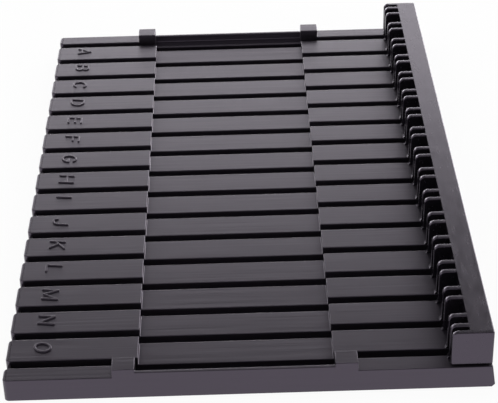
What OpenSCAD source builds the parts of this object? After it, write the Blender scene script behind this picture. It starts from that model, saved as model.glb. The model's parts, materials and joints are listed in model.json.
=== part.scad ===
// Slotted card file rack: lettered index slats lie side by side with a card slot
// on each side, and a comb of card guides stands behind them and holds the cards up.
// Sizes are in millimetres. The rack rests on z = 0, its lettered side faces -X,
// the comb stands at +X, and the slats run from A at +Y to O at -Y.

/* [Slats and slots] */
// Width of a card slot
slot_w = 2.9; // [2:0.1:4.5]
// Width of an index slat
slat_w = 9.1; // [7:0.1:14]
// Thickness of a slat at its two ends
slat_h = 4.8; // [3.8:0.1:8]
// Thickness of a slat in its lowered middle
slat_mid_h = 2.5; // [1.5:0.1:3.6]
// Length of a slat's lettered end
letter_l = 34.1; // [20:0.1:60]
// Length of a slat's lowered middle
middle_l = 50.5; // [20:0.1:90]
// Length of a slat between its middle and the card guides
inner_l = 29.3; // [16:0.1:60]
// Corner radius of a slat's lettered end, seen from above
slat_corner_r = 1.3; // [0.2:0.1:1.8]
// Radius of the top edge of a slat's lettered end
slat_edge_r = 0.4; // [0.2:0.1:1.5]

/* [Base] */
// Thickness of the floor panel
floor_t = 1.6; // [1.2:0.1:4]
// Width of an end rail
end_rail_w = 5.2; // [4.6:0.1:12]
// Width of the floor panel's edge under an end rail
lap_w = 3.6; // [3:0.1:4]
// Distance of that edge from the floor panel's two long sides
lap_inset = 6; // [2:0.1:14]
// Length of a stop lug on an end rail
lug_l = 5.8; // [3:0.1:12]
// Distance of the lettered side's lugs from the slats' lowered middle
lug_gap = 0.5; // [0:0.1:2]
// Height of a stop lug above the slats
lug_rise = 2.5; // [0.5:0.1:6]
// Thickness of an end rail's outer wall between its two stop lugs
upstand_t = 1.1; // [0.6:0.1:3]
// Height of that wall above the slats at the near end
upstand_rise = 1.4; // [0.5:0.1:5]
// Thickness of a slot stop at the lettered side
stop_t = 0.9; // [0.6:0.1:2]
// Distance of a slot stop behind the slats' ends
stop_inset = 0.5; // [0:0.1:2]
// Distance of a slot stop's top below the slats
stop_drop = 1; // [0.3:0.1:3]
// How far the base runs out towards its foot at the comb side
foot_w = 0.8; // [0:0.1:2]
// Chamfer under the foot at the comb side
foot_chamfer = 0.8; // [0.2:0.1:0.9]

/* [Comb] */
// Height of the comb above the slats
comb_rise = 10.2; // [8:0.1:40]
// Width of the comb's spine
spine_w = 6.1; // [5.4:0.1:12]
// Depth of a guide fin in front of the spine
fin_d = 4.6; // [2.5:0.1:10]
// Thickness of a guide fin
fin_t = 1.4; // [0.8:0.1:2.4]
// Radius of the upper front corner of a fin or end plate
fin_corner_r = 1.5; // [0.5:0.1:2.4]
// How far a fin's foot runs out over its slat
fin_foot_w = 0.5; // [0.1:0.1:1.5]
// Height of a fin's foot
fin_foot_h = 0.8; // [0.2:0.1:3]
// Depth of a guide's web in the spine
web_t = 1.1; // [0.8:0.1:1.2]
// Height of the spine left over a guide's web
web_cover = 1.2; // [0.6:0.1:3]
// Thickness of the comb's end plates
end_plate_t = 1.4; // [0.8:0.1:2]
// Distance of the end plates behind the ends of the base
comb_inset = 0.8; // [0:0.1:1.5]
// Height of the shadow gap under the comb
seam_h = 0.5; // [0.3:0.1:2]
// Depth of the shadow gap under the comb
seam_inset = 0.8; // [0.2:0.1:1.2]

/* [Fixings] */
// Diameter of a locating peg under a slat or an end rail
peg_d = 2.4; // [1.6:0.1:2.8]
// Thickness of the floor left under a peg
peg_skin = 0.6; // [0.4:0.1:0.8]
// Diameter of a pin on an end plate or on the rear rail
pin_d = 2; // [1.2:0.1:2.6]
// Length of a pin on an end plate or on the rear rail
pin_l = 3; // [1.5:0.1:3.6]
// Distance of an end plate's pins from its lower and upper edge
pin_margin = 2.4; // [1.6:0.1:3]
// Diameter of a comb screw
screw_d = 2.4; // [1.6:0.1:2.8]
// Length of a comb screw in the spine
screw_grip = 6; // [3:0.1:6.5]
// Diameter of a comb screw's head
screw_head_d = 4.4; // [3.6:0.1:4.6]
// Height of a comb screw's head
screw_head_h = 1.4; // [1:0.1:2]
// Depth of a screw's head inside the base
screw_sink = 0.4; // [0.2:0.1:1.2]
// Depth of a comb screw's cross recess
recess_h = 0.8; // [0.4:0.1:0.9]
// Width of a comb screw's cross recess
recess_w = 0.6; // [0.3:0.1:1]
// Length of a comb screw's cross recess
recess_l = 2.4; // [1.2:0.1:3]
// Number of slats from one comb screw to the next
screw_step = 4; // [2:1:7]

/* [Fits] */
// Clearance on each side of a piece that sits in another
fit_gap = 0.05; // [0.02:0.01:0.1]

/* [Hidden] */
slat_letters = "abcdefghijklmno";
slat_count = len(slat_letters);
slot_count = slat_count + 1;
first_screw_slat = 1;

pitch = slot_w + slat_w;
bed_l = slot_count * slot_w + slat_count * slat_w;
rack_l = bed_l + 2 * end_rail_w;

middle_x = letter_l;
inner_x = middle_x + middle_l;
fin_x = inner_x + inner_l;
spine_x = fin_x + fin_d;
back_x = spine_x + spine_w;
rack_w = back_x + foot_w;
slat_l = spine_x - fit_gap;
floor_x = stop_inset + stop_t;
lap_x = floor_x + lap_inset;
lap_l = spine_x - floor_x - 2 * lap_inset;
spine_mid_x = spine_x + spine_w / 2;
peg_xs = [letter_l / 2, inner_x + inner_l / 2];
lug_x = middle_x - lug_gap;

base_h = floor_t + slat_h;
middle_h = floor_t + slat_mid_h;
comb_h = base_h + comb_rise;
comb_seat = base_h + seam_h;
peg_h = floor_t - peg_skin;
pin_zs = [comb_seat + pin_margin, comb_h - pin_margin];
rail_pin_z = base_h / 2;

spine_y = comb_inset + end_plate_t;
guide_w = slot_w + 2 * fin_t;
web_h = comb_rise - seam_h - web_cover;
head_seat = screw_sink + screw_head_h;
screw_point = screw_d / 2;
screw_slats = [for (k = [first_screw_slat : screw_step : slat_count - 1]) k];

// Tools that cut run past the solid by this much
over = 1;
plastic = [0.13, 0.13, 0.15];
steel = [0.72, 0.72, 0.74];
$fn = 48;

slat_names = [for (c = slat_letters) str("slat_", c)];
guide_names = [for (j = [1 : slot_count]) str("card_guide_", j < 10 ? "0" : "", j)];

// Near face of slat k and of slot j, counted from the A end
function slat_y(k) = rack_l - end_rail_w - (k + 1) * pitch;
function slot_y(j) = rack_l - end_rail_w - slot_w - j * pitch;

// Outline of the rack seen from the side, with the base's foot at the comb side
module base_outline() {
    polygon([
        [0, 0],
        [back_x + foot_w - foot_chamfer, 0],
        [back_x + foot_w, foot_chamfer],
        [back_x, base_h],
        [back_x, comb_h],
        [0, comb_h]
    ]);
}

// Puts the rack's middle over the origin
module place(offset) {
    translate([-rack_w / 2, -rack_l / 2, 0]) translate(offset) children();
}

// Draws near-end geometry at the far end
module at_far_end() {
    translate([0, rack_l, 0]) mirror([0, 1, 0]) children();
}

// Extrudes a side view, drawn as x and z, along Y over the width w
module along_y(w) {
    translate([0, w, 0]) rotate([90, 0, 0]) linear_extrude(w) children();
}

// Bar seen from above, with the two corners of its lettered end rounded
module bar_plan(l, w) {
    translate([slat_corner_r, 0]) square([l - slat_corner_r, w]);
    translate([0, slat_corner_r]) square([l, w - 2 * slat_corner_r]);
    for (y = [slat_corner_r, w - slat_corner_r]) {
        translate([slat_corner_r, y]) circle(slat_corner_r);
    }
}

// Bar seen from the side, with the top edge of its lettered end rounded
module bar_side(l, h) {
    translate([slat_edge_r, 0]) square([l - slat_edge_r, h]);
    square([l, h - slat_edge_r]);
    translate([slat_edge_r, h - slat_edge_r]) circle(slat_edge_r);
}

// Locating pegs that hang below a bar, at the distance y from its near face
module pegs(y) {
    for (x = peg_xs) {
        translate([x, y, -peg_h]) cylinder(d = peg_d, h = peg_h + over);
    }
}

// Index slat k, lowered in its middle
module slat(k) {
    color(plastic) place([0, slat_y(k), floor_t]) {
        intersection() {
            linear_extrude(slat_h) bar_plan(slat_l, slat_w);
            along_y(slat_w) difference() {
                bar_side(slat_l, slat_h);
                translate([middle_x, slat_mid_h]) square([middle_l, slat_h]);
            }
        }
        pegs(slat_w / 2);
    }
}

// Floor under the slats, with an edge that laps under each end rail
module floor_panel() {
    color(plastic) place([0, 0, 0]) difference() {
        union() {
            translate([floor_x, end_rail_w, 0]) cube([spine_x - floor_x, bed_l, floor_t]);
            translate([lap_x, end_rail_w - lap_w, 0]) cube([lap_l, bed_l + 2 * lap_w, floor_t]);
        }
        for (k = [0 : slat_count - 1]) translate([0, slat_y(k) + slat_w / 2, peg_skin]) peg_holes();
        translate([0, end_rail_w - lap_w / 2, peg_skin]) peg_holes();
        at_far_end() translate([0, end_rail_w - lap_w / 2, peg_skin]) peg_holes();
    }
}

// Holes for the pegs of one slat or end rail
module peg_holes() {
    for (x = peg_xs) translate([x, 0, 0]) cylinder(d = peg_d + 2 * fit_gap, h = floor_t);
}

// Rail along the lettered side, with a stop that closes each slot between two slats
module slot_stop_rail() {
    color(plastic) place([0, 0, 0]) {
        translate([0, end_rail_w, 0]) cube([floor_x, bed_l, floor_t]);
        for (j = [0 : slot_count - 1]) {
            translate([stop_inset, slot_y(j) + fit_gap, floor_t / 2]) {
                cube([stop_t, slot_w - 2 * fit_gap, floor_t / 2 + slat_h - stop_drop]);
            }
        }
    }
}

// Rail under the comb, pinned into the end rails, with holes for the comb screws
module rear_rail() {
    color(plastic) place([0, 0, 0]) {
        difference() {
            translate([0, end_rail_w, 0]) along_y(bed_l) intersection() {
                translate([spine_x, 0]) square([spine_w + foot_w, base_h]);
                base_outline();
            }
            for (k = screw_slats) translate([spine_mid_x, slat_y(k) + slat_w / 2, -over]) {
                cylinder(d = screw_d + 2 * fit_gap, h = base_h + 2 * over);
                cylinder(d = screw_head_d + 2 * fit_gap, h = head_seat + over);
            }
        }
        rear_rail_pin();
        at_far_end() rear_rail_pin();
    }
}

// Pin of the rear rail in the near end rail
module rear_rail_pin() {
    translate([spine_mid_x, end_rail_w - pin_l, rail_pin_z]) rotate([-90, 0, 0]) {
        cylinder(d = pin_d, h = pin_l + over);
    }
}

// Side view of an end rail: the bar, two lugs and the outer wall between them, raised by rise
module end_rail_side(rise) {
    intersection() {
        union() {
            bar_side(back_x + foot_w, base_h);
            for (x = [lug_x - lug_l, inner_x]) translate([x, 0]) square([lug_l, base_h + lug_rise]);
            translate([lug_x, 0]) square([inner_x - lug_x, base_h + rise]);
        }
        base_outline();
    }
}

// End rail at the near end, over the floor panel's lap, with its outer wall raised by rise
module end_rail(rise) {
    difference() {
        intersection() {
            linear_extrude(comb_h) bar_plan(rack_w, end_rail_w);
            along_y(end_rail_w) end_rail_side(rise);
        }
        translate([lug_x, upstand_t, middle_h]) cube([inner_x - lug_x, end_rail_w, comb_h]);
        translate([lap_x - fit_gap, end_rail_w - lap_w - fit_gap, -over]) {
            cube([lap_l + 2 * fit_gap, lap_w + fit_gap + over, floor_t + over]);
        }
        translate([spine_mid_x, end_rail_w - pin_l - fit_gap, rail_pin_z]) rotate([-90, 0, 0]) {
            cylinder(d = pin_d + 2 * fit_gap, h = pin_l + fit_gap + over);
        }
    }
    translate([0, 0, floor_t]) pegs(end_rail_w - lap_w / 2);
}

module near_end_rail() {
    color(plastic) place([0, 0, 0]) end_rail(upstand_rise);
}

module far_end_rail() {
    color(plastic) place([0, 0, 0]) at_far_end() end_rail(0);
}

// Spine on the base, with a pocket for each guide, pin holes and screw holes
module comb_spine() {
    color(plastic) place([0, 0, 0]) difference() {
        translate([0, spine_y, 0]) along_y(rack_l - 2 * spine_y) {
            translate([spine_x, base_h]) square([spine_w - seam_inset, comb_rise]);
            translate([spine_x, comb_seat]) square([spine_w, comb_rise - seam_h]);
        }
        for (j = [0 : slot_count - 1]) {
            translate([spine_x - over, slot_y(j) - fin_t - fit_gap, comb_seat]) {
                cube([web_t + fit_gap + over, guide_w + 2 * fit_gap, web_h + fit_gap]);
            }
        }
        for (z = pin_zs) {
            translate([spine_mid_x, 0, z]) pin_hole();
            at_far_end() translate([spine_mid_x, 0, z]) pin_hole();
        }
        for (k = screw_slats) {
            translate([spine_mid_x, slat_y(k) + slat_w / 2, base_h - over]) {
                cylinder(d = screw_d + 2 * fit_gap, h = screw_grip + screw_point + fit_gap + over);
            }
        }
    }
}

// Hole for an end plate's pin, from the near end into the spine
module pin_hole() {
    rotate([-90, 0, 0]) cylinder(d = pin_d + 2 * fit_gap, h = spine_y + pin_l + fit_gap);
}

// Plate from the fins' front to the back, seen from the side, with its upper front corner rounded
module plate_side(to_x, from_z) {
    translate([fin_x + fin_corner_r, from_z]) square([to_x - fin_x - fin_corner_r, comb_h - from_z]);
    translate([fin_x, from_z]) square([to_x - fin_x, comb_h - fin_corner_r - from_z]);
    translate([fin_x + fin_corner_r, comb_h - fin_corner_r]) circle(fin_corner_r);
}

// Plate that closes the comb's near end, pinned into the spine
module end_plate() {
    along_y(end_plate_t) plate_side(back_x, comb_seat);
    for (z = pin_zs) {
        translate([spine_mid_x, end_plate_t / 2, z]) rotate([-90, 0, 0]) {
            cylinder(d = pin_d, h = end_plate_t / 2 + pin_l);
        }
    }
}

module near_end_plate() {
    color(plastic) place([0, comb_inset, 0]) end_plate();
}

module far_end_plate() {
    color(plastic) place([0, -comb_inset, 0]) at_far_end() end_plate();
}

// Side view of a guide fin: it stands on the slats, and its web reaches into the spine
module fin_side() {
    plate_side(spine_x, base_h);
    translate([fin_x, base_h]) polygon([[-fin_foot_w, 0], [0, fin_foot_h], [fin_d / 2, 0]]);
    translate([spine_x - fin_d / 4, comb_seat]) square([fin_d / 4 + web_t, web_h]);
}

// Card guide at slot j: a fin on each side of the slot, joined by a web in the spine
module card_guide(j) {
    color(plastic) place([0, slot_y(j) - fin_t, 0]) {
        for (y = [0, fin_t + slot_w]) translate([0, y, 0]) along_y(fin_t) fin_side();
        translate([spine_x, fin_t / 2, comb_seat]) cube([web_t, slot_w + fin_t, web_h]);
    }
}

// Screw with a flat head, a cross recess and a pointed end, standing on its head
module screw() {
    difference() {
        union() {
            translate([0, 0, screw_sink]) cylinder(d = screw_head_d, h = screw_head_h);
            translate([0, 0, head_seat - screw_head_h / 2]) {
                cylinder(d = screw_d, h = base_h - head_seat + screw_head_h / 2 + screw_grip);
            }
            translate([0, 0, base_h + screw_grip]) cylinder(d1 = screw_d, d2 = 0, h = screw_point);
        }
        for (turn = [0, 90]) rotate([0, 0, turn]) {
            translate([-recess_l / 2, -recess_w / 2, 0]) cube([recess_l, recess_w, screw_sink + recess_h]);
        }
    }
}

// Screws that hold the spine down from below
module comb_screws() {
    color(steel) for (k = screw_slats) {
        place([spine_mid_x, slat_y(k) + slat_w / 2, 0]) screw();
    }
}

floor_panel();
slot_stop_rail();
rear_rail();
near_end_rail();
far_end_rail();
for (k = [0 : slat_count - 1]) slat(k);
comb_spine();
near_end_plate();
far_end_plate();
for (j = [0 : slot_count - 1]) card_guide(j);
comb_screws();
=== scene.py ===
import json
import math

import bmesh
import bpy
from mathutils import Matrix, Vector
from mathutils.geometry import delaunay_2d_cdt

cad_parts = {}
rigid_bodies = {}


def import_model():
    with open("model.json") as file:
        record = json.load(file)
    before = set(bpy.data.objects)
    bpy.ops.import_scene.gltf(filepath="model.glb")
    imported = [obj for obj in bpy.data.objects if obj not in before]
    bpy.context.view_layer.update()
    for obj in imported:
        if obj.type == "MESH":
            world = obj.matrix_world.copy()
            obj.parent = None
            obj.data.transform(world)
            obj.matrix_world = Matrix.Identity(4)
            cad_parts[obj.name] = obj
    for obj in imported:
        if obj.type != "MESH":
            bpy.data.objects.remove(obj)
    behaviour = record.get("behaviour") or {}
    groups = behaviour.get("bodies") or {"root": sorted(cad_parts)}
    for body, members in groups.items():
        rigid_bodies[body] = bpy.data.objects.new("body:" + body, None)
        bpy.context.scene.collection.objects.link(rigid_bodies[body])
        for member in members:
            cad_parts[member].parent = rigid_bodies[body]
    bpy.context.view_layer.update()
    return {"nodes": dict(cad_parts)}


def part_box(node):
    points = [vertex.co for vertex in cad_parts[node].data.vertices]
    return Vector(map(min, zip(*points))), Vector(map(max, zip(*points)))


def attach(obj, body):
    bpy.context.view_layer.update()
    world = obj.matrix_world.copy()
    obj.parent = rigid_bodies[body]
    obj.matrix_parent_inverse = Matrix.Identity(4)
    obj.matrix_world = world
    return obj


# Slotted card file rack in black moulded plastic, on a pale studio floor.
# Lengths are in metres. The lettered side faces -X, the comb stands at +X,
# and the slats run from A at +Y to O at -Y.

MM = 0.001

# The photograph's width in pixels, and the camera that took it, its sensor in millimetres
IMAGE_W = 498
FOCAL_PX = 1624
SENSOR_W = 36
CLIP_START = 10 * MM
CAMERA_PLACE = Vector((-0.9, -420.7, 263.7)) * MM
CAMERA_YAW = math.radians(0.35)
CAMERA_PITCH = math.radians(32.39)
CAMERA_ROLL = math.radians(-1.51)

# Radius of a moulded edge on each kind of piece, matched by the start of its name
EDGE_RADIUS = {
    "slat_": 0.2 * MM,
    "near_end_rail": 0.2 * MM,
    "far_end_rail": 0.25 * MM,
    "rear_rail": 0.4 * MM,
    "slot_stop_rail": 0.15 * MM,
    "near_end_plate": 0.4 * MM,
    "far_end_plate": 0.4 * MM,
    "card_guide_": 0.28 * MM,
    "comb_spine": 0.3 * MM,
    "comb_screws": 0.1 * MM,
}
EDGE_SEGMENTS = 3
EDGE_ANGLE = math.radians(40)
FLAT_ANGLE = math.radians(0.5)
WELD_DISTANCE = 0.001 * MM
JOINT_REACH = 0.15 * MM

# Raised index letters at the slats' free ends
CAP_H = 4.75 * MM
STROKE_W = 0.65 * MM
BASELINE_INSET = 6.8 * MM
LETTER_LEAN = 0.14
LETTER_RISE = 0.35 * MM
LETTER_SINK = 0.15 * MM
LETTER_EDGE = 0.2 * MM
ARC_STEP = math.radians(12)
CAP_STEPS = 6
LEAST_BEND_COSINE = 0.5
MERGE_DISTANCE = 0.002 * MM
KEEP_INSIDE = 1

# Finish of each plastic: how matt it is, the stretch and depth of its flow lines, and its grain's depth
PLASTICS = {
    "slat_plastic": (0.34, (40, 1, 1), 0.03 * MM, 0.004 * MM),
    "comb_plastic": (0.24, (1, 6, 1), 0.008 * MM, 0.003 * MM),
}
WARM_BLACK = (0.006, 0.005, 0.0065)
COOL_BLACK = (0.0055, 0.005, 0.0065)
MATT_SPREAD = 0.04
WAVE_DEPTH = 0.03 * MM
PLASTIC_IOR = 1.6
GLOSS_LEVEL = 0.78
GLOSS_TINT = (0.9, 0.763, 1, 1)

# Zinc plating of the screws
BLUE_ZINC = (0.55, 0.56, 0.58)
YELLOW_ZINC = (0.72, 0.71, 0.68)
ZINC_MATT = (0.28, 0.42)
ZINC_GRAIN_DEPTH = 0.006 * MM

# Size of each noise's features and its level of detail, and the span that most of a noise's values lie in
CLOUDS = (22 * MM, 2)
WAVES = (9 * MM, 1)
FLOW = (0.9 * MM, 3)
GRAIN = (0.22 * MM, 2)
ZINC_PATCHES = (1.2 * MM, 3)
ZINC_GRAIN = (0.15 * MM, 2)
NOISE_SPAN = (0.3, 0.7)

# Studio floor of white paper
FLOOR_HALF = 3
PAPER_COLOUR = (0.85, 0.85, 0.85, 1)
PAPER_MATT = 0.9
PAPER_GLOW = 0.93

# Studio light: what the plastic mirrors is white up to the walls' top, and dark above
WHITE = (1, 1, 1, 1)
FILL_LIGHT = 0.75
WALL_TOP = math.radians(20)
CEILING_EDGE = math.radians(42)
CEILING_GREY = 0.03

# Place, size and power in watts of each lamp, which faces the rack
LAMPS = {
    "back_softbox": ((0, 0.8, 0.25), (1.2, 0.4), 1.6),
    "right_softbox": ((0.6, 0.8, 0.3), (0.6, 0.5), 3),
    "low_back_strip": ((0, 1, 0.09), (1.6, 0.1), 3.5),
    "top_softbox": ((0, 0, 1), (1.2, 1.2), 1.5),
}


def arc(cx, cy, rx, ry, start, end):
    """Points on an ellipse from one angle to another, in degrees."""
    start, end = math.radians(start), math.radians(end)
    count = max(2, round(abs(end - start) / ARC_STEP))
    angles = [start + (end - start) * i / count for i in range(count + 1)]
    return [(cx + rx * math.cos(a), cy + ry * math.sin(a)) for a in angles]


# Width of each letter and its distance from the slat's far edge in millimetres,
# and the centre lines of its strokes in a box from 0 to 1
LETTERS = {
    "A": (4, 1.5, [[(0, 0), (0.5, 1)], [(0.5, 1), (1, 0)], [(0.16, 0.3), (0.84, 0.3)]]),
    "B": (3.8, 1.8, [[(0, 0), (0, 1)],
                     [(0, 1), *arc(0.6, 0.77, 0.32, 0.23, 90, -90), (0, 0.54)],
                     [(0, 0.54), *arc(0.6, 0.27, 0.4, 0.27, 90, -90), (0, 0)]]),
    "C": (4.2, 1.8, [arc(0.5, 0.5, 0.5, 0.5, 42, 318)]),
    "D": (4.2, 2, [[(0, 0), (0, 1)],
                   [(0, 1), *arc(0.45, 0.5, 0.55, 0.5, 90, -90), (0, 0)]]),
    "E": (3.7, 2.1, [[(0, 0), (0, 1)], [(0, 1), (1, 1)],
                     [(0, 0.53), (0.92, 0.53)], [(0, 0), (1, 0)]]),
    "F": (3.6, 2, [[(0, 0), (0, 1)], [(0, 1), (1, 1)], [(0, 0.53), (0.88, 0.53)]]),
    "G": (4.3, 2, [arc(0.5, 0.5, 0.5, 0.5, 42, 345),
                   [(1, 0.44), (1, 0.37)], [(0.56, 0.44), (1, 0.44)]]),
    "H": (4.4, 1.9, [[(0, 0), (0, 1)], [(1, 0), (1, 1)], [(0, 0.53), (1, 0.53)]]),
    "I": (0.7, 2.1, [[(0, 0), (0, 1)]]),
    "J": (3.4, 2.1, [[(1, 1), *arc(0.5, 0.32, 0.5, 0.32, 0, -170)]]),
    "K": (3.9, 1.9, [[(0, 0), (0, 1)], [(0, 0.36), (1, 1)], [(0.36, 0.59), (1, 0)]]),
    "L": (3.6, 1.9, [[(0, 0), (0, 1)], [(0, 0), (1, 0)]]),
    "M": (4.75, 1.75, [[(0, 0), (0, 1)], [(0, 1), (0.5, 0.1)],
                       [(0.5, 0.1), (1, 1)], [(1, 1), (1, 0)]]),
    "N": (3.95, 1.75, [[(0, 0), (0, 1)], [(0, 1), (1, 0)], [(1, 0), (1, 1)]]),
    "O": (4.1, 1.7, [arc(0.5, 0.5, 0.5, 0.5, 0, 180), arc(0.5, 0.5, 0.5, 0.5, 180, 360)]),
}


def clear_scene():
    for obj in list(bpy.data.objects):
        bpy.data.objects.remove(obj)


def link(obj):
    bpy.context.scene.collection.objects.link(obj)
    return obj


# Camera


def add_camera():
    yaw, pitch, roll = CAMERA_YAW, CAMERA_PITCH, CAMERA_ROLL
    ahead = Vector((math.sin(yaw), math.cos(yaw), 0))
    level = Vector((math.cos(yaw), -math.sin(yaw), 0))
    forward = math.cos(pitch) * ahead - math.sin(pitch) * Vector((0, 0, 1))
    above = level.cross(forward)
    right = math.cos(roll) * level + math.sin(roll) * above
    up = math.cos(roll) * above - math.sin(roll) * level
    data = bpy.data.cameras.new("camera")
    data.sensor_fit = "HORIZONTAL"
    data.sensor_width = SENSOR_W
    data.lens = SENSOR_W * FOCAL_PX / IMAGE_W
    data.clip_start = CLIP_START
    camera = link(bpy.data.objects.new("camera", data))
    turn = Matrix((right, up, -forward)).transposed()
    camera.matrix_world = Matrix.Translation(CAMERA_PLACE) @ turn.to_4x4()
    bpy.context.scene.camera = camera


# Nodes that the edges and the studio share


def feed(tree, socket, value):
    """Links a socket to another node's output, or sets it to a constant."""
    if isinstance(value, bpy.types.NodeSocket):
        tree.links.new(value, socket)
    else:
        socket.default_value = value


def calculate(tree, operation, *values):
    """Math node on numbers or on other nodes' outputs."""
    node = tree.nodes.new("ShaderNodeMath")
    node.operation = operation
    for socket, value in zip(node.inputs, values):
        feed(tree, socket, value)
    return node.outputs[0]


# Materials


def new_material(name):
    material = bpy.data.materials.new(name)
    material.use_nodes = True
    return material, material.node_tree, material.node_tree.nodes["Principled BSDF"]


def add_noise(tree, feature, detail, stretch=(1, 1, 1)):
    """Noise whose features have a real size, longer along an axis by its stretch."""
    place = tree.nodes.new("ShaderNodeTexCoord")
    mapping = tree.nodes.new("ShaderNodeMapping")
    mapping.inputs["Scale"].default_value = [1 / s for s in stretch]
    noise = tree.nodes.new("ShaderNodeTexNoise")
    noise.inputs["Scale"].default_value = 1 / feature
    noise.inputs["Detail"].default_value = detail
    tree.links.new(place.outputs["Object"], mapping.inputs["Vector"])
    tree.links.new(mapping.outputs["Vector"], noise.inputs["Vector"])
    return noise.outputs["Fac"]


def add_range(tree, value, low, high):
    """Maps the middle of a noise's span to the range from low to high."""
    node = tree.nodes.new("ShaderNodeMapRange")
    node.inputs["From Min"].default_value, node.inputs["From Max"].default_value = NOISE_SPAN
    node.inputs["To Min"].default_value = low
    node.inputs["To Max"].default_value = high
    tree.links.new(value, node.inputs["Value"])
    return node.outputs["Result"]


def add_blend(tree, value, first, second):
    """Blends two colours by another node's output."""
    node = tree.nodes.new("ShaderNodeMix")
    node.data_type = "RGBA"
    node.inputs["A"].default_value = (*first, 1)
    node.inputs["B"].default_value = (*second, 1)
    tree.links.new(value, node.inputs["Factor"])
    return node.outputs["Result"]


def add_bump(tree, height, depth, normal=None):
    """Relief of a real depth, on top of an earlier one where there is one."""
    node = tree.nodes.new("ShaderNodeBump")
    node.inputs["Strength"].default_value = 1
    node.inputs["Distance"].default_value = depth
    tree.links.new(height, node.inputs["Height"])
    if normal:
        tree.links.new(normal, node.inputs["Normal"])
    return node.outputs["Normal"]


def moulded_plastic(name, matt, flow_stretch, flow_depth, grain_depth):
    """Black plastic with cloudy tint, flow lines along the piece and a fine moulded grain."""
    material, tree, shader = new_material(name)
    clouds = add_range(tree, add_noise(tree, *CLOUDS), 0, 1)
    flow = add_noise(tree, *FLOW, flow_stretch)
    tint = add_blend(tree, clouds, WARM_BLACK, COOL_BLACK)
    roughness = add_range(tree, flow, matt - MATT_SPREAD, matt + MATT_SPREAD)
    wavy = add_bump(tree, add_noise(tree, *WAVES), WAVE_DEPTH)
    lined = add_bump(tree, flow, flow_depth, wavy)
    grained = add_bump(tree, add_noise(tree, *GRAIN), grain_depth, lined)
    tree.links.new(tint, shader.inputs["Base Color"])
    tree.links.new(roughness, shader.inputs["Roughness"])
    tree.links.new(grained, shader.inputs["Normal"])
    shader.inputs["IOR"].default_value = PLASTIC_IOR
    shader.inputs["Specular IOR Level"].default_value = GLOSS_LEVEL
    shader.inputs["Specular Tint"].default_value = GLOSS_TINT
    return material


def zinc_steel(name):
    """Zinc-plated steel with a patchy gloss."""
    material, tree, shader = new_material(name)
    patches = add_noise(tree, *ZINC_PATCHES)
    tint = add_blend(tree, patches, BLUE_ZINC, YELLOW_ZINC)
    roughness = add_range(tree, patches, *ZINC_MATT)
    grained = add_bump(tree, add_noise(tree, *ZINC_GRAIN), ZINC_GRAIN_DEPTH)
    tree.links.new(tint, shader.inputs["Base Color"])
    tree.links.new(roughness, shader.inputs["Roughness"])
    tree.links.new(grained, shader.inputs["Normal"])
    shader.inputs["Metallic"].default_value = 1
    return material


# Moulded edges


def geometry_group(name):
    tree = bpy.data.node_groups.new(name, "GeometryNodeTree")
    tree.interface.new_socket("Geometry", in_out="INPUT", socket_type="NodeSocketGeometry")
    tree.interface.new_socket("Geometry", in_out="OUTPUT", socket_type="NodeSocketGeometry")
    return tree


def pass_through(tree, *nodes):
    """Sends the geometry through nodes, from the group's input to its output."""
    stages = [tree.nodes.new("NodeGroupInput"), *nodes, tree.nodes.new("NodeGroupOutput")]
    for before, after in zip(stages, stages[1:]):
        tree.links.new(before.outputs[0], after.inputs[0])


def edge_picker(seat):
    """Node group that picks the corners above a seat, but none where two pieces lie flush."""
    wall_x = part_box("comb_spine")[0].x
    spine_end = abs(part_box("comb_spine")[1].y)
    rail_face = abs(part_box("near_end_rail")[1].y)

    tree = geometry_group("edge_picker")
    place = tree.nodes.new("ShaderNodeSeparateXYZ")
    tree.links.new(tree.nodes.new("GeometryNodeInputPosition").outputs[0], place.inputs[0])
    x, y, z = place.outputs
    angle = tree.nodes.new("GeometryNodeInputMeshEdgeAngle").outputs["Unsigned Angle"]

    corner = calculate(tree, "GREATER_THAN", angle, EDGE_ANGLE)
    above = calculate(tree, "GREATER_THAN", z, seat + JOINT_REACH)
    on_wall = calculate(tree, "COMPARE", x, wall_x, JOINT_REACH)
    behind = calculate(tree, "GREATER_THAN", x, wall_x)
    across = calculate(tree, "ABSOLUTE", y)
    at_spine_end = calculate(tree, "COMPARE", across, spine_end, JOINT_REACH)
    at_rail_face = calculate(tree, "COMPARE", across, rail_face, JOINT_REACH)
    at_end = calculate(tree, "MAXIMUM", at_spine_end, at_rail_face)
    flush = calculate(tree, "MAXIMUM", on_wall, calculate(tree, "MULTIPLY", behind, at_end))
    open_corner = calculate(tree, "SUBTRACT", calculate(tree, "MULTIPLY", corner, above), flush)

    store = tree.nodes.new("GeometryNodeStoreNamedAttribute")
    store.domain = "EDGE"
    store.inputs["Name"].default_value = "bevel_weight_edge"
    tree.links.new(calculate(tree, "MAXIMUM", open_corner, 0), store.inputs["Value"])
    pass_through(tree, store)
    return tree


def corner_shader():
    """Node group that shades a surface smoothly, but keeps its remaining corners crisp."""
    tree = geometry_group("corner_shader")
    angle = tree.nodes.new("GeometryNodeInputMeshEdgeAngle").outputs["Unsigned Angle"]
    smooth = tree.nodes.new("GeometryNodeSetShadeSmooth")
    crisp = tree.nodes.new("GeometryNodeSetShadeSmooth")
    crisp.domain = "EDGE"
    crisp.inputs["Shade Smooth"].default_value = False
    tree.links.new(calculate(tree, "GREATER_THAN", angle, EDGE_ANGLE), crisp.inputs["Selection"])
    pass_through(tree, smooth, crisp)
    return tree


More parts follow.
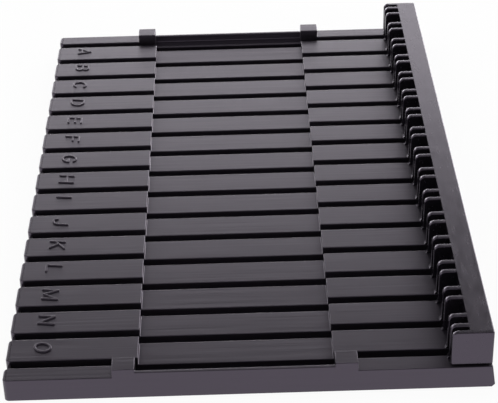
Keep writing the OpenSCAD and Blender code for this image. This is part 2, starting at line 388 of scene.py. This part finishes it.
def round_edges(obj, radius, shading, picker=None):
    """Rounds an object's corners, or only those that a picker marks."""
    weld = obj.modifiers.new("weld", "WELD")
    weld.merge_threshold = WELD_DISTANCE
    flat = obj.modifiers.new("flat", "DECIMATE")
    flat.decimate_type = "DISSOLVE"
    flat.angle_limit = FLAT_ANGLE
    if picker:
        obj.modifiers.new("picker", "NODES").node_group = picker
    edge = obj.modifiers.new("edge", "BEVEL")
    edge.width = radius
    edge.segments = EDGE_SEGMENTS
    edge.limit_method = "WEIGHT" if picker else "ANGLE"
    edge.angle_limit = EDGE_ANGLE
    edge.use_clamp_overlap = False
    obj.modifiers.new("corners", "NODES").node_group = shading
    obj.modifiers.new("normals", "WEIGHTED_NORMAL").keep_sharp = True


def finish_nodes(nodes, materials, shading):
    """Gives every CAD node its finish, and its kind's edge radius where it has one."""
    pickers = {
        "slat_plastic": edge_picker(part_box("floor_panel")[1].z),
        "comb_plastic": edge_picker(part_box("near_end_plate")[0].z),
        "screw_steel": edge_picker(0),
    }
    for name, obj in nodes.items():
        slot = obj.material_slots[0].material.name
        obj.material_slots[0].material = materials[slot]
        for start, radius in EDGE_RADIUS.items():
            if name.startswith(start):
                round_edges(obj, radius, shading, pickers[slot])


# Index letters


def round_end(centre, along, half):
    """Points of a half circle from the left of a direction to its right."""
    start = math.atan2(along.y, along.x) + math.pi / 2
    angles = [start - math.pi * i / CAP_STEPS for i in range(1, CAP_STEPS)]
    return [centre + half * Vector((math.cos(a), math.sin(a))) for a in angles]


def stroke_outline(path, half):
    """Outline of a stroke with round ends around its centre line."""
    points = [Vector(p) for p in path]
    steps = [(b - a).normalized() for a, b in zip(points, points[1:])]
    left = []
    right = []
    for i, point in enumerate(points):
        before = steps[max(i - 1, 0)]
        after = steps[min(i, len(steps) - 1)]
        along = (before + after).normalized()
        reach = half / max(along.dot(before), LEAST_BEND_COSINE)
        side = Vector((-along.y, along.x)) * reach
        left.append(point + side)
        right.append(point - side)
    end = round_end(points[-1], steps[-1], half)
    start = round_end(points[0], -steps[0], half)
    return left + end + right[::-1] + start


def letter_outlines(letter):
    """Outlines of a letter's strokes, counterclockwise."""
    width, _, strokes = LETTERS[letter]
    half = STROKE_W / 2
    span = Vector((width * MM - STROKE_W, CAP_H - STROKE_W))
    lean = LETTER_LEAN * span.y
    outlines = []
    for stroke in strokes:
        path = [(half + u * span.x + (v - 0.5) * lean, half + v * span.y) for u, v in stroke]
        outlines.append(stroke_outline(path, half)[::-1])
    return outlines


def merge_outlines(outlines):
    """Points and faces of one flat shape that covers all the outlines."""
    corners = []
    rings = []
    for outline in outlines:
        rings.append(list(range(len(corners), len(corners) + len(outline))))
        corners += outline
    merged = delaunay_2d_cdt(corners, [], rings, KEEP_INSIDE, MERGE_DISTANCE, True)
    points, faces, owners = merged[0], merged[2], merged[5]
    return points, [face for face, owner in zip(faces, owners) if owner]


def letter_mesh(letter):
    """Raised letter, its strokes merged into one closed solid."""
    points, faces = merge_outlines(letter_outlines(letter))
    work = bmesh.new()
    verts = [work.verts.new((p.x, p.y, -LETTER_SINK)) for p in points]
    for face in faces:
        work.faces.new([verts[i] for i in face])
    loose = [v for v in work.verts if not v.link_faces]
    bmesh.ops.delete(work, geom=loose, context="VERTS")
    raised = bmesh.ops.extrude_face_region(work, geom=work.faces[:])["geom"]
    top = [g for g in raised if isinstance(g, bmesh.types.BMVert)]
    bmesh.ops.translate(work, verts=top, vec=(0, 0, LETTER_SINK + LETTER_RISE))
    bmesh.ops.recalc_face_normals(work, faces=work.faces[:])
    mesh = bpy.data.meshes.new("letter_" + letter.lower())
    work.to_mesh(mesh)
    work.free()
    return mesh


def add_letters(material, shading):
    """One letter on each slat, read with the lettered side down."""
    for letter, (_, margin, _) in LETTERS.items():
        low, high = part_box("slat_" + letter.lower())
        mesh = letter_mesh(letter)
        mesh.materials.append(material)
        obj = link(bpy.data.objects.new(mesh.name, mesh))
        place = Vector((low.x + BASELINE_INSET, high.y - margin * MM, high.z))
        obj.matrix_world = Matrix.Translation(place) @ Matrix.Rotation(-math.pi / 2, 4, "Z")
        round_edges(obj, LETTER_EDGE, shading)
        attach(obj, "root")


# Studio


def mix_shaders(tree, share, first, second):
    """Mixes two shaders, with a share of the second."""
    node = tree.nodes.new("ShaderNodeMixShader")
    feed(tree, node.inputs["Fac"], share)
    tree.links.new(first, node.inputs[1])
    tree.links.new(second, node.inputs[2])
    return node.outputs[0]


def sees_background(tree):
    """1 for rays that show the background: from the camera, a gloss or a glass."""
    rays = tree.nodes.new("ShaderNodeLightPath").outputs
    seen = calculate(tree, "MAXIMUM", rays["Is Camera Ray"], rays["Is Glossy Ray"])
    return calculate(tree, "MAXIMUM", seen, rays["Is Transmission Ray"])


def add_world():
    """White walls under a dark ceiling, with an even fill light."""
    world = bpy.data.worlds.new("studio")
    world.use_nodes = True
    tree = world.node_tree
    light = tree.nodes["Background"]
    light.inputs["Color"].default_value = WHITE
    light.inputs["Strength"].default_value = FILL_LIGHT
    place = tree.nodes.new("ShaderNodeTexCoord")
    direction = tree.nodes.new("ShaderNodeSeparateXYZ")
    tree.links.new(place.outputs["Generated"], direction.inputs[0])
    fade = tree.nodes.new("ShaderNodeMapRange")
    fade.interpolation_type = "SMOOTHSTEP"
    fade.inputs["From Min"].default_value = math.sin(WALL_TOP)
    fade.inputs["From Max"].default_value = math.sin(CEILING_EDGE)
    fade.inputs["To Min"].default_value = 1
    fade.inputs["To Max"].default_value = CEILING_GREY
    tree.links.new(direction.outputs["Z"], fade.inputs["Value"])
    shown = tree.nodes.new("ShaderNodeBackground")
    shown.inputs["Color"].default_value = WHITE
    tree.links.new(fade.outputs["Result"], shown.inputs["Strength"])
    room = mix_shaders(tree, sees_background(tree), light.outputs[0], shown.outputs[0])
    tree.links.new(room, tree.nodes["World Output"].inputs["Surface"])
    bpy.context.scene.world = world


def floor_material():
    """White paper that shows as white, and keeps a soft shadow."""
    material, tree, shader = new_material("floor_paper")
    shader.inputs["Base Color"].default_value = PAPER_COLOUR
    shader.inputs["Roughness"].default_value = PAPER_MATT
    shader.inputs["Specular IOR Level"].default_value = 0
    paper = shader.outputs[0]
    glow = tree.nodes.new("ShaderNodeEmission").outputs[0]
    shown = mix_shaders(tree, PAPER_GLOW, paper, glow)
    final = mix_shaders(tree, sees_background(tree), paper, shown)
    tree.links.new(final, tree.nodes["Material Output"].inputs["Surface"])
    return material


def add_floor():
    half = FLOOR_HALF
    corners = [(-half, -half, 0), (half, -half, 0), (half, half, 0), (-half, half, 0)]
    mesh = bpy.data.meshes.new("floor")
    mesh.from_pydata(corners, [], [(0, 1, 2, 3)])
    mesh.materials.append(floor_material())
    link(bpy.data.objects.new("floor", mesh))


def add_lamp(name, place, size, power):
    data = bpy.data.lights.new(name, "AREA")
    data.shape = "RECTANGLE"
    data.size, data.size_y = size
    data.energy = power
    lamp = link(bpy.data.objects.new(name, data))
    lamp.location = place
    lamp.rotation_euler = (-Vector(place)).to_track_quat("-Z", "Y").to_euler()


clear_scene()
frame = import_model()

add_camera()
materials = {name: moulded_plastic(name, *finish) for name, finish in PLASTICS.items()}
materials["screw_steel"] = zinc_steel("screw_steel")
shading = corner_shader()
finish_nodes(frame["nodes"], materials, shading)
add_letters(materials["slat_plastic"], shading)
add_floor()
add_world()
for name, (place, size, power) in LAMPS.items():
    add_lamp(name, place, size, power)
bpy.context.scene.view_settings.view_transform = "Standard"
